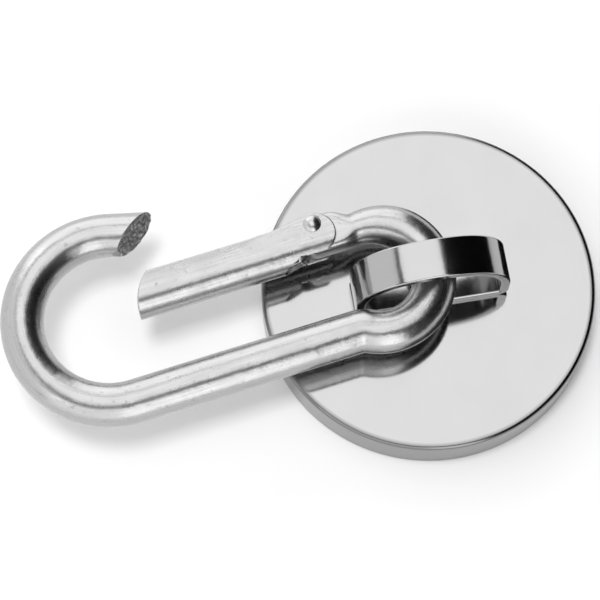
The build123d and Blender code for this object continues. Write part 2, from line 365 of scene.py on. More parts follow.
def piece(name, sheets, body, nodes, finishes):
    """One closed mesh from grids of points, set on its body in place of its CAD nodes.

    A sheet is (points, flow) or (points, flow, finish number). Neighbours in a grid are joined by quads, and flow
    is each point's place in the finish. Points that meet are merged, so seams and poles close, and faces are
    turned outwards. A body is one name, on which the piece is set; a body of two names and two points leaves the
    piece in place on no body, and those names and points are not used.
    """
    corners, quads, flows, kinds, count = [], [], [], [], 0
    for points, flow, *kind in sheets:
        rows, cols = points.shape[:2]
        index = count + np.arange(rows * cols).reshape(rows, cols)
        quad = np.stack([index[:-1, :-1], index[:-1, 1:], index[1:, 1:], index[1:, :-1]], -1).reshape(-1, 4)
        corners.append(points.reshape(-1, 3))
        flows.append(np.broadcast_to(flow, (rows, cols, 2)).reshape(-1, 2))
        quads.append(quad)
        kinds.append(np.full(len(quad), kind[0] if kind else 0))
        count += rows * cols
    corners, quads, flows, kinds = (np.concatenate(x) for x in (corners, quads, flows, kinds))
    mesh = bpy.data.meshes.new(name)
    mesh.vertices.add(len(corners))
    mesh.vertices.foreach_set("co", corners.astype(np.float32).ravel())
    mesh.loops.add(quads.size)
    mesh.loops.foreach_set("vertex_index", quads.astype(np.int32).ravel())
    mesh.polygons.add(len(quads))
    mesh.polygons.foreach_set("loop_start", np.arange(0, quads.size, 4, dtype=np.int32))
    mesh.update(calc_edges=True)
    mesh.uv_layers.new(name="flow").data.foreach_set("uv", flows[quads.ravel()].astype(np.float32).ravel())
    for finish in finishes:
        mesh.materials.append(finish)
    mesh.polygons.foreach_set("material_index", kinds.astype(np.int32))
    work = bmesh.new()
    work.from_mesh(mesh)
    bmesh.ops.remove_doubles(work, verts=work.verts, dist=MERGE)
    bmesh.ops.dissolve_degenerate(work, edges=work.edges, dist=MERGE)
    bmesh.ops.recalc_face_normals(work, faces=work.faces)
    loose = sum(not edge.is_manifold for edge in work.edges)
    work.to_mesh(mesh)
    work.free()
    if loose:
        raise RuntimeError(f"{name} has {loose} open edges")
    mesh.shade_smooth()
    mesh.set_sharp_from_angle(angle=CREASE)
    made = bpy.data.objects.new(name, mesh)
    bpy.context.scene.collection.objects.link(made)
    if isinstance(body, str):
        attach(made, body)
    else:
        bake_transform(made)
    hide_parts(*nodes)


# ---- finishes ----
class Field:
    """A number that varies over a surface. Arithmetic on it adds Math nodes."""

    def __init__(self, finish, socket):
        self.finish, self.socket = finish, socket

    def maths(self, operation, *terms):
        node = self.finish.node("ShaderNodeMath", {"operation": operation}, dict(enumerate(terms)))
        return Field(self.finish, node.outputs[0])

    def __add__(self, other):
        return self.maths("ADD", self, other)

    def __sub__(self, other):
        return self.maths("SUBTRACT", self, other)

    def __rsub__(self, other):
        return self.maths("SUBTRACT", other, self)

    def __mul__(self, other):
        return self.maths("MULTIPLY", self, other)

    __radd__, __rmul__ = __add__, __mul__

    def most(self, other):
        return self.maths("MAXIMUM", self, other)

    def step(self, low, high):
        """0 below low, 1 above high, and an even rise between."""
        node = self.finish.node(
            "ShaderNodeMapRange", {"clamp": True}, {"Value": self, "From Min": low, "From Max": high}
        )
        return Field(self.finish, node.outputs["Result"])


class Finish:
    """One procedural material and the few things that its recipe is written with."""

    def __init__(self, name):
        self.material = bpy.data.materials.new(name)
        self.material.use_nodes = True
        self.tree = self.material.node_tree
        self.tree.nodes.clear()

    def node(self, kind, settings=None, inputs=None):
        """A node of one kind: its settings first, then the values or links of its sockets."""
        made = self.tree.nodes.new(kind)
        for key, value in (settings or {}).items():
            setattr(made, key, value)
        for key, value in (inputs or {}).items():
            if isinstance(value, Field):
                self.tree.links.new(value.socket, made.inputs[key])
            else:
                made.inputs[key].default_value = value
        return made

    def spot(self, stretch=(1, 1, 1), turn=(0, 0, 0)):
        """Where a point is on the object, stretched and turned for a pattern."""
        place = self.node("ShaderNodeTexCoord").outputs["Object"]
        node = self.node(
            "ShaderNodeMapping", None, {"Vector": Field(self, place), "Scale": stretch, "Rotation": turn}
        )
        return Field(self, node.outputs["Vector"])

    def flow(self, stretch=(1, 1, 1)):
        """Where a point is along and round the piece, stretched for a pattern that follows it."""
        place = self.node("ShaderNodeUVMap", {"uv_map": "flow"}).outputs["UV"]
        node = self.node("ShaderNodeMapping", None, {"Vector": Field(self, place), "Scale": stretch})
        return Field(self, node.outputs["Vector"])

    def noise(self, where, pitch, detail=3.0, rough=0.5):
        """Cloudy noise whose patches are about pitch metres across."""
        node = self.node(
            "ShaderNodeTexNoise", None, {"Vector": where, "Scale": 1 / pitch, "Detail": detail, "Roughness": rough}
        )
        return Field(self, node.outputs["Fac"])

    def reach(self):
        """Distance from the magnet's axis."""
        place = Field(self, self.node("ShaderNodeTexCoord").outputs["Object"])
        flat = self.node("ShaderNodeVectorMath", {"operation": "MULTIPLY"}, {0: place, 1: (1, 1, 0)})
        node = self.node("ShaderNodeVectorMath", {"operation": "LENGTH"}, {0: Field(self, flat.outputs[0])})
        return Field(self, node.outputs["Value"])

    def blend(self, factor, low, high):
        """A colour between two colours."""
        node = self.node("ShaderNodeMix", {"data_type": "RGBA"})
        for socket, value in ((node.inputs[6], low), (node.inputs[7], high)):
            if isinstance(value, Field):
                self.tree.links.new(value.socket, socket)
            else:
                socket.default_value = (*value, 1)
        self.tree.links.new(factor.socket, node.inputs[0])
        return Field(self, node.outputs[2])

    def bump(self, height, depth, under=None):
        """A normal from a height field whose whole range is depth metres deep."""
        inputs = {"Height": height, "Distance": depth, "Strength": 1.0}
        if under is not None:
            inputs["Normal"] = under
        return Field(self, self.node("ShaderNodeBump", None, inputs).outputs["Normal"])

    def done(self, **inputs):
        """Ends the recipe in one Principled shader. Names are its sockets' names with _ for a space."""
        values = {key.replace("_", " "): value for key, value in inputs.items()}
        shader = self.node("ShaderNodeBsdfPrincipled", None, values)
        output = self.node("ShaderNodeOutputMaterial")
        self.tree.links.new(shader.outputs[0], output.inputs["Surface"])
        return self.material


def tint(rgb, factor=1.0):
    """A colour made lighter or darker."""
    return tuple(min(1.0, c * factor) for c in rgb)


def scratches(finish, pitch, turns):
    """Fine straight scratches: bands of noise drawn out long, one set for each turn, and the strongest wins."""
    lines = None
    for turn in turns:
        where = finish.spot((1, 0.03, 1), (0, 0, turn))
        line = finish.noise(where, pitch, 2.0, 0.6).step(0.66, 0.74)
        lines = line if lines is None else lines.most(line)
    return lines


def mirror_plate(name, look):
    """Polished plating: a clear mirror with faint polishing lines, a slow unevenness, a rougher edge and painted
    shade: a dark reflection line painted into the colour round the rim and down the outer wall.
    """
    f = Finish(name)
    lines = scratches(f, 0.25 * MM, (0.3, 1.4, 2.4))
    haze = f.noise(f.spot(), 9 * MM, 4.0, 0.55).step(0.35, 0.75)
    # edge: painted shade, a dark reflection band in the colour over the top's rim and the outer wall; it also makes
    # that band rougher
    edge = f.reach().step(CUP_HIGH.x - 1.2 * MM, CUP_HIGH.x - 0.5 * MM)
    slow = f.noise(f.spot(), 14 * MM, 1.0, 0.4)
    rough = haze * (0.05 * look.wear) + lines * (0.06 * look.wear) + edge * 0.10 + look.gloss
    wavy = f.bump(slow, 0.03 * MM)
    face = f.blend(haze * 0.5 + lines * 0.2, look.mirror, tint(look.mirror, 0.93))
    return f.done(
        # painted shade: the colour is halved where edge is one
        Base_Color=f.blend(edge, face, tint(look.mirror, 0.5)),
        Metallic=1.0,
        Roughness=rough,
        Normal=f.bump(lines, 0.0006 * MM, wavy),
    )


def strap_plate(name, look):
    """Rolled and plated strip: faint lines that run along the strip, and small dents."""
    f = Finish(name)
    rolled = f.noise(f.flow((0.02, 1, 1)), 0.12 * MM, 3.0, 0.6)
    dents = f.noise(f.flow(), 2.2 * MM, 2.0, 0.5)
    rough = rolled.step(0.4, 0.75) * 0.05 + dents.step(0.5, 0.75) * (0.05 * look.wear) + (look.gloss + 0.03)
    return f.done(
        Base_Color=f.blend(rolled.step(0.35, 0.7), tint(look.mirror, 0.95), look.mirror),
        Metallic=1.0,
        Roughness=rough,
        Normal=f.bump(rolled, 0.0008 * MM, f.bump(dents, 0.014 * MM)),
    )


def tumbled_plate(name, look, shade=1.0):
    """Tumbled and plated steel: soft dings, drawing lines along the rod, and small dulled spots."""
    f = Finish(name)
    drawn = f.noise(f.flow((0.04, 1, 1)), 0.35 * MM, 3.0, 0.55)
    dings = f.noise(f.spot(), 3.2 * MM, 3.0, 0.5)
    grain = f.noise(f.spot(), 0.3 * MM, 2.0, 0.6)
    spots = f.noise(f.spot(), 1.1 * MM, 3.0, 0.6).step(0.62, 0.74)
    rough = dings * 0.12 + drawn * 0.10 + spots * (0.2 * look.wear) + 0.17
    uneven = f.bump(dings, 0.10 * MM)
    lined = f.bump(drawn, 0.007 * MM, uneven)
    return f.done(
        Base_Color=f.blend(
            spots * 0.6 + drawn.step(0.3, 0.7) * 0.4, tint(look.bright, shade * 1.06), tint(look.bright, shade * 0.7)
        ),
        Metallic=1.0,
        Roughness=rough,
        Normal=f.bump(grain, 0.0015 * MM, lined),
    )


def torn_metal(name, look):
    """The cropped face: dark torn metal, pitted at two scales, with a few bright smears."""
    f = Finish(name)
    pits = f.noise(f.spot(), 0.7 * MM, 5.0, 0.7)
    smear = f.noise(f.spot((1, 1, 0.3)), 0.5 * MM, 2.0, 0.5).step(0.55, 0.7)
    return f.done(
        Base_Color=f.blend(smear * 0.8, tint(look.bare, 0.75), tint(look.bare, 1.9)),
        Metallic=1.0,
        Roughness=pits * 0.3 + 0.32 - smear * 0.1,
        Normal=f.bump(pits, 0.22 * MM),
    )


def plain_steel(name, look, shade=0.9):
    """Turned steel: fine rings or lines round the piece and light wear."""
    f = Finish(name)
    lines = f.noise(f.flow((0.03, 1, 1)), 0.09 * MM, 2.0, 0.5)
    worn = f.noise(f.spot(), 1.4 * MM, 3.0, 0.55)
    return f.done(
        Base_Color=f.blend(worn.step(0.4, 0.7), tint(look.bright, shade), tint(look.bright, shade * 0.8)),
        Metallic=1.0,
        Roughness=worn * 0.16 + 0.13,
        Normal=f.bump(lines, 0.002 * MM, f.bump(worn, 0.02 * MM)),
    )


def plain_washer(name, look):
    """Blanked steel: burnished lines one way across it, and a slightly blotched grey."""
    f = Finish(name)
    lines = f.noise(f.spot((1, 0.05, 1)), 0.1 * MM, 2.0, 0.5)
    worn = f.noise(f.spot(), 1.5 * MM, 3.0, 0.55)
    return f.done(
        Base_Color=f.blend(worn, tint(look.bright, 0.9), tint(look.bright, 0.7)),
        Metallic=1.0,
        Roughness=worn * 0.2 + 0.18,
        Normal=f.bump(lines, 0.002 * MM),
    )


def poured_resin(name, look):
    """Black resin: a soft sheen, a slow unevenness and a few pinholes."""
    f = Finish(name)
    slow = f.noise(f.spot(), 4 * MM, 2.0, 0.4)
    cells = f.node("ShaderNodeTexVoronoi", None, {"Vector": f.spot(), "Scale": 1 / (2.6 * MM), "Randomness": 1.0})
    holes = 1 - Field(f, cells.outputs["Distance"]).step(0.06, 0.12)
    return f.done(
        Base_Color=f.blend(slow.step(0.3, 0.7), look.resin, tint(look.resin, 1.6)),
        Roughness=slow * 0.2 + 0.28,
        Specular_IOR_Level=0.5,
        Normal=f.bump(1 - holes, 0.12 * MM, f.bump(slow, 0.08 * MM)),
    )


def magnet_plate(name, look):
    """Satin plating of the ring magnet: orange-peel texture, rubbed patches and a few chips."""
    f = Finish(name)
    peel = f.noise(f.spot(), 0.6 * MM, 3.0, 0.5)
    rubbed = f.noise(f.spot(), 6 * MM, 4.0, 0.6).step(0.4, 0.7)
    lines = scratches(f, 0.3 * MM, (0.2, 1.1, 1.9))
    return f.done(
        Base_Color=f.blend(rubbed, tint(look.bright, 0.86), tint(look.bright, 0.7)),
        Metallic=1.0,
        Roughness=rubbed * 0.12 + lines * 0.08 + 0.22,
        Normal=f.bump(peel, 0.012 * MM, f.bump(lines, 0.001 * MM)),
    )


# ---- pieces ----
class MAGNET_OT_cup(bpy.types.Operator):
    """Builds the steel cup"""

    bl_idname = "magnet.cup"
    bl_label = "Steel Cup"

    def execute(self, context):
        """A closed section turned round the axis: flat back, rounded edge, wall, chamfered mouth and cavity."""
        sizes, look = context.scene.magnet_pot, context.scene.magnet_finish
        out, top, cavity = CUP_HIGH.x, POT_TOP, MAGNET_HIGH.z
        inner, bore, chamfer = out - sizes.wall, context.scene.magnet_strap.rivet_shank, sizes.mouth_chamfer
        corners = [
            (bore, top), (out, top), (out, chamfer), (out - chamfer, 0), (inner, 0), (inner, cavity), (bore, cavity),
        ]
        radii = [0.05 * MM, sizes.edge_round, 0.1 * MM, 0.1 * MM, 0.15 * MM, 0.3 * MM, 0.05 * MM]
        section = rounded(corners, radii, steps=13, between=10)
        piece(
            "cup_shell", [turned(section, (0, 0), 256)], "pot", ["steel_cup"],
            [mirror_plate("cup mirror plate", look)],
        )
        return {"FINISHED"}


class MAGNET_OT_core(bpy.types.Operator):
    """Builds the ring magnet and the resin poured round it"""

    bl_idname = "magnet.core"
    bl_label = "Magnet and Resin"

    def execute(self, context):
        """Closed sections turned round the axis. The resin's face dips by resin_dip as half a sine between edges."""
        sizes, look = context.scene.magnet_pot, context.scene.magnet_finish
        bore, ring, top = sizes.magnet_bore, MAGNET_HIGH.x, MAGNET_HIGH.z
        wall = CUP_HIGH.x - sizes.wall
        edge = sizes.magnet_edge
        section = rounded([(bore, 0), (ring, 0), (ring, top), (bore, top)], [edge, edge, edge, edge])
        piece(
            "magnet_ring", [turned(section, (0, 0), 256)], "pot", ["ring_magnet"],
            [magnet_plate("magnet satin plate", look)],
        )
        resin = poured_resin("poured resin", look)
        line = eased(24)
        dip = np.sin(np.pi * line) ** 0.6 * sizes.resin_dip * 0.7
        face = np.stack([ring + (wall - ring) * line, dip + sizes.resin_seat], -1)
        gap = np.vstack([face, [(wall, top), (ring, top)], face[:1]])
        piece("resin_ring", [turned(gap, (0, 0), 256)], "pot", ["potting_ring"], [resin])
        line = np.linspace(0, 1, 40)
        dip = (1 - line**4) * sizes.resin_dip
        face = np.stack([bore * line, dip], -1)
        hole = PLUG_HIGH.z - sizes.recess_depth
        plug = np.vstack([face, [(bore, top), (sizes.recess, top), (sizes.recess, hole), (0, hole)]])
        piece("resin_plug", [turned(plug, (0, 0), 192)], "pot", ["centre_plug"], [resin])
        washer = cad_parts["rivet_washer"]
        washer.material_slots[0].material = plain_washer("washer steel", look)
        return {"FINISHED"}


class MAGNET_OT_strap(bpy.types.Operator):
    """Builds the bent strap"""

    bl_idname = "magnet.strap"
    bl_label = "Strap"

    def execute(self, context):
        """A rounded strip section carried round a D: base, corner, leg, shoulder, crown, and the same again back.

        A point at width w starts at the larger of half the seam and the square root of hole squared less w squared,
        so the strip's two ends leave a seam and a round hole for the rivet.
        """
        sizes, look = context.scene.magnet_strap, context.scene.magnet_finish
        half = sizes.thickness / 2
        foot = STRAP_HALF_SPAN - STRAP_CORNER
        shoulder_x = STRAP_HALF_SPAN - STRAP_SHOULDER
        crown_z = STRAP_HIGH.z - STRAP_CROWN
        reach = STRAP_CROWN - STRAP_SHOULDER
        shoulder_z = crown_z + math.sqrt(reach**2 - shoulder_x**2)
        lean = math.acos(shoulder_x / reach)
        corner, quarter = STRAP_CORNER - half, math.pi / 2
        leg = shoulder_z - POT_TOP - STRAP_CORNER
        one_side = [(foot, 0), (corner * quarter, quarter), (leg, 0), ((STRAP_SHOULDER - half) * lean, lean)]
        crown = math.pi - 2 * lean
        legs = [*one_side, ((STRAP_CROWN - half) * crown, crown), *one_side[::-1]]
        total = sum(x[0] for x in legs)

        w_half, r = STRAP_WIDTH / 2, sizes.edge_round
        turn = np.linspace(0, np.pi / 2, 9)
        bead = np.stack([w_half - r + r * np.cos(turn), half - r + r * np.sin(turn)], -1)
        flat = (w_half - r) * (1 - 2 * eased(30)[1:-1])
        wall = np.stack([np.full(5, w_half), np.linspace(0, half - r, 6)[:-1]], -1)
        upper = np.vstack([wall, bead, np.stack([flat, np.full(len(flat), half)], -1)])
        upper = np.vstack([upper, (np.vstack([wall, bead]) * [-1, 1])[::-1]])
        section = np.vstack([upper, (upper * [1, -1])[::-1]])

        def bent(s, w, h):
            """The point at distance s along the strip, w across it and h out from its middle, turned to its yaw."""
            place, way = walked((0, POT_TOP + half), 0.0, legs, s)
            x, z = place[..., 0] + h * np.sin(way), place[..., 1] - h * np.cos(way)
            cos, sin = math.cos(STRAP_YAW), math.sin(STRAP_YAW)
            return np.stack([x * cos - w * sin, x * sin + w * cos, z], -1)

        def end_of(w):
            return np.maximum(STRAP_SEAM / 2, np.sqrt(np.clip(STRAP_HOLE**2 - w**2, 0, None)))

        near = 4 * MM
        share_in = np.linspace(0, 1, 14)[:-1, None]
        head = end_of(section[:, 0]) + share_in * (near - end_of(section[:, 0]))
        body = np.linspace(near, total - near, 420)[:, None] * np.ones(len(section))
        s = np.vstack([head, body, total - head[::-1]])
        around = gone_along(section)
        sheets = [(bent(s, section[:, 0], section[:, 1]), np.stack(np.broadcast_arrays(s, around), -1))]
        level = np.linspace(1, 0, 9)[:, None]
        w, h = section[:, 0] * level, section[:, 1] * level
        for end in (end_of(w), total - end_of(w)):
            sheets.append((bent(end, w, h), np.stack([w, h], -1)))
        piece("strap", sheets, "strap", ["strap_loop"], [strap_plate("strap plate", look)])
        return {"FINISHED"}


def domed(foot, height, count=16):
    """The outline of a low dome from its foot to its top.

    It is part of a circle whose radius is the foot squared plus the height squared, over twice the height.
    """
    ball = (foot**2 + height**2) / (2 * height)
    full = math.asin(min(1.0, foot / ball))
    angle = np.linspace(full, 0, count)
    return np.stack([ball * np.sin(angle), height - ball + ball * np.cos(angle)], -1)


class MAGNET_OT_rivets(bpy.types.Operator):
    """Builds the strap's rivet and the gate's hinge rivet"""

    bl_idname = "magnet.rivets"
    bl_label = "Rivets"

    def execute(self, context):
        """Each is one outline turned round its own axis: a head, a shank and the other head."""
        strap, gate, look = context.scene.magnet_strap, context.scene.magnet_gate, context.scene.magnet_finish
        steel = plain_steel("rivet steel", look)
        head = domed(strap.rivet_head, strap.rivet_rise) + [0, RIVET_HIGH.z - strap.rivet_rise]
        tail, wide, chamfer = RIVET_LOW.z, strap.tail_radius, strap.tail_chamfer
        seat = tail + strap.tail_height
        flat = [(0, tail), (wide - chamfer, tail), (wide, tail + chamfer), (wide, seat)]
        shank = [(strap.rivet_shank, seat), (strap.rivet_shank, head[0, 1])]
        outline = np.vstack([flat, shank, head])
        piece("strap_rivet_turned", [turned(outline, (0, 0), 96)], "pot", ["strap_rivet"], [steel])

        pin = tumbled_plate("hinge rivet plate", look, 1.1)
        reach = context.scene.magnet_hook.rod
        tall = PIN_HIGH.z - HOOK_PLANE - reach
        dome = domed(gate.pin_head * 0.97, tall * 0.9, 20)
        rim = np.array([(gate.pin, 0.0), (gate.pin_head, 0.0), (gate.pin_head, tall * 0.08)])
        cap = np.vstack([rim, dome + [0, tall * 0.1]])
        upper = cap + [0, reach]
        outline = np.vstack([(upper * [1, -1])[::-1], upper])
        outline[:, 1] += HOOK_PLANE
        piece("gate_rivet_turned", [turned(outline, PIVOT, 72)], "gate", ["gate_rivet"], [pin])
        return {"FINISHED"}


class MAGNET_OT_hook(bpy.types.Operator):
    """Builds the bent rod of the hook with its cropped nose and its flattened tongue"""

    bl_idname = "magnet.hook"
    bl_label = "Hook"

    def execute(self, context):
        """A round section carried along bow, bar, crease and eye, then drawn down and flattened to the tongue."""
        sizes, look = context.scene.magnet_hook, context.scene.magnet_finish
        rod, neck = sizes.rod, sizes.neck
        bar_y = BOW_CENTRE[1] - BOW_RADIUS
        drop = EYE_CENTRE[1] - bar_y + CREASE_RADIUS
        span = EYE_RADIUS + CREASE_RADIUS
        crease_x = EYE_CENTRE[0] - math.sqrt(span**2 - drop**2)
        lean = math.asin(drop / span)
        dip, swing = math.pi / 2 - lean, math.pi / 2 + NOSE_TURN
        legs = [
            (BOW_RADIUS * (1.5 * math.pi - swing), 1.5 * math.pi - swing),
            (crease_x - BOW_CENTRE[0], 0.0),
            (CREASE_RADIUS * dip, -dip),
            (EYE_RADIUS * (math.pi + TAPER_FROM - lean), math.pi + TAPER_FROM - lean),
        ]
        total = sum(leg for leg, _ in legs)
        start = BOW_CENTRE + BOW_RADIUS * np.array([math.cos(swing), math.sin(swing)])
        heading = swing + math.pi / 2
        centre, way = walked(start, heading, legs, np.linspace(0, total, 420))

        part = np.linspace(0, 1, 46)[1:]
        soft = part**2 * (1.6 - 0.6 * part)
        around_eye = TAPER_FROM + part * (TAPER_TO - TAPER_FROM)
        thin = rod + soft * (neck - rod)
        reach = EYE_RADIUS + rod - thin - soft * TAPER_DIP
        taper = EYE_CENTRE + reach[:, None] * np.stack([np.cos(around_eye), np.sin(around_eye)], -1)

        tip_x = PIVOT[0] - HEEL_RADIUS
        along = 1 - (1 - np.linspace(0, 1, 60)[1:]) ** 2
        x = taper[-1, 0] + (tip_x - taper[-1, 0]) * along
        blend = smooth(np.clip((taper[-1, 0] - x) / TONGUE_RUN, 0, 1))
        past = np.clip(PIVOT[0] - x, 0, None)
        heel = np.sqrt(np.clip(HEEL_RADIUS**2 - past**2, 0, None))
        lobe = np.sqrt(np.clip(LOBE_RADIUS**2 - past**2, 0, None))
        crest = np.where(past < LOBE_REACH, PIVOT[1] + lobe, SPRING_LINE + heel)
        foot = SPRING_LINE - heel
        shrink = np.where(heel > TONGUE_INSET, TONGUE_INSET, 0)
        middle = np.where(past > 0, (crest + foot) / 2, taper[-1, 1] + blend * (TONGUE_MIDDLE - taper[-1, 1]))
        tall = np.where(past > 0, (crest - foot) / 2 - shrink, neck + blend * (TONGUE_HALF - TONGUE_INSET - neck))
        flatness = neck + blend * (TONGUE_THIN - neck)

        spine = np.vstack([centre, taper, np.stack([x, middle], -1)])
        headings = np.concatenate([way, around_eye + np.pi / 2, np.full(len(x), np.pi)])
        side = np.stack([np.sin(headings), -np.cos(headings), np.zeros(len(headings))], -1)
        up = np.broadcast_to([0.0, 0.0, 1.0], side.shape)
        high = np.concatenate([np.full(len(way), rod), thin, tall])
        deep = np.concatenate([np.full(len(way), rod), thin, flatness * np.where(heel > 0, 1, 0)])
        power = np.concatenate([np.full(len(way) + len(thin), 2.0), 2 + 3.0 * blend])
        line = np.column_stack([spine, np.full(len(spine), HOOK_PLANE)])
        points, flow = carried(line, side, up, high, deep, power)

        angle = np.linspace(0, 2 * np.pi, points.shape[1])
        nose_way = np.array([math.cos(NOSE_TURN), math.sin(NOSE_TURN), 0.0])
        first = np.append(start, HOOK_PLANE)
        seat = first + sizes.nose * nose_way
        rim_side = side[0]

        def cropped(inward):
            """How far the rod's end stands past the bow: the nearer of two slanted planes, met with a soft ridge,
            less a rolled edge, plus the torn surface's unevenness inside it."""
            off = rod * inward * (rim_side * np.cos(angle)[:, None] + up[0] * np.sin(angle)[:, None])
            reaches = []
            for turn, setback in ((FACE_TURN, 0.0), (NICK_TURN, NICK_SETBACK)):
                flat = math.cos(FACE_LIFT)
                normal = np.array([math.cos(turn) * flat, math.sin(turn) * flat, math.sin(FACE_LIFT)])
                reaches.append((seat + setback * normal - first - off) @ normal / (nose_way @ normal))
            gap = np.clip(1 - np.abs(reaches[0] - reaches[1]) / NOSE_RIDGE, 0, None)
            low = np.minimum(*reaches) - NOSE_RIDGE * gap**2 / 4
            roll = NOSE_ROLL * np.clip((inward - ROLL_FROM) / (1 - ROLL_FROM), 0, 1) ** 2
            inside = np.clip((1 - inward) / 0.12, 0, 1)
            rough = ripple(off @ rim_side, off[..., 2] * 1.3, TEAR_PITCH, sizes.tear) - sizes.tear
            return first + off + nose_way * (low - roll + rough * inside)[..., None]

        shares = np.linspace(1, 0, 30)[:, None, None]
        edge = cropped(1.0)
        tube = points[0] + shares * (edge - points[0])
        inward = np.concatenate([np.linspace(1, ROLL_FROM, 8), np.linspace(ROLL_FROM, 0, 30)[1:]])
        face = np.stack([cropped(share_in) for share_in in inward])
        nose_flow = np.stack(np.broadcast_arrays(-shares[..., 0] * sizes.nose, angle * rod), -1)
        face_flow = np.stack(np.broadcast_arrays(inward[:, None] * rod, angle * rod), -1)
        sheets = [(points, flow), (tube, nose_flow), (face, face_flow, 1)]
        piece(
            "hook_rod", sheets, "hook", ["hook_frame"],
            [tumbled_plate("hook plate", look), torn_metal("cropped face", look)],
        )
        return {"FINISHED"}


def ear_edges(x):
    """The ear's far and near edge at x: tangents from the gate's square end to the ear's circle, then the circle."""
    out = []
    for edge, sign in ((GATE_EDGE, 1.0), (EAR_LOW, -1.0)):
        away = EAR_CENTRE - (EAR_X, edge)
        gap = math.hypot(*away)
        slope = math.atan2(away[1], away[0]) + sign * math.asin(EAR_RADIUS / gap)
        touch = EAR_X + math.sqrt(gap**2 - EAR_RADIUS**2) * math.cos(slope)
        circle = np.sqrt(np.clip(EAR_RADIUS**2 - (x - EAR_CENTRE[0]) ** 2, 0, None))
        straight = edge + np.clip(x - EAR_X, 0, None) * math.tan(slope)
        out.append(np.where(x < touch, straight, EAR_CENTRE[1] + sign * circle))
    return out[0], np.maximum(out[1], BACK_EDGE)


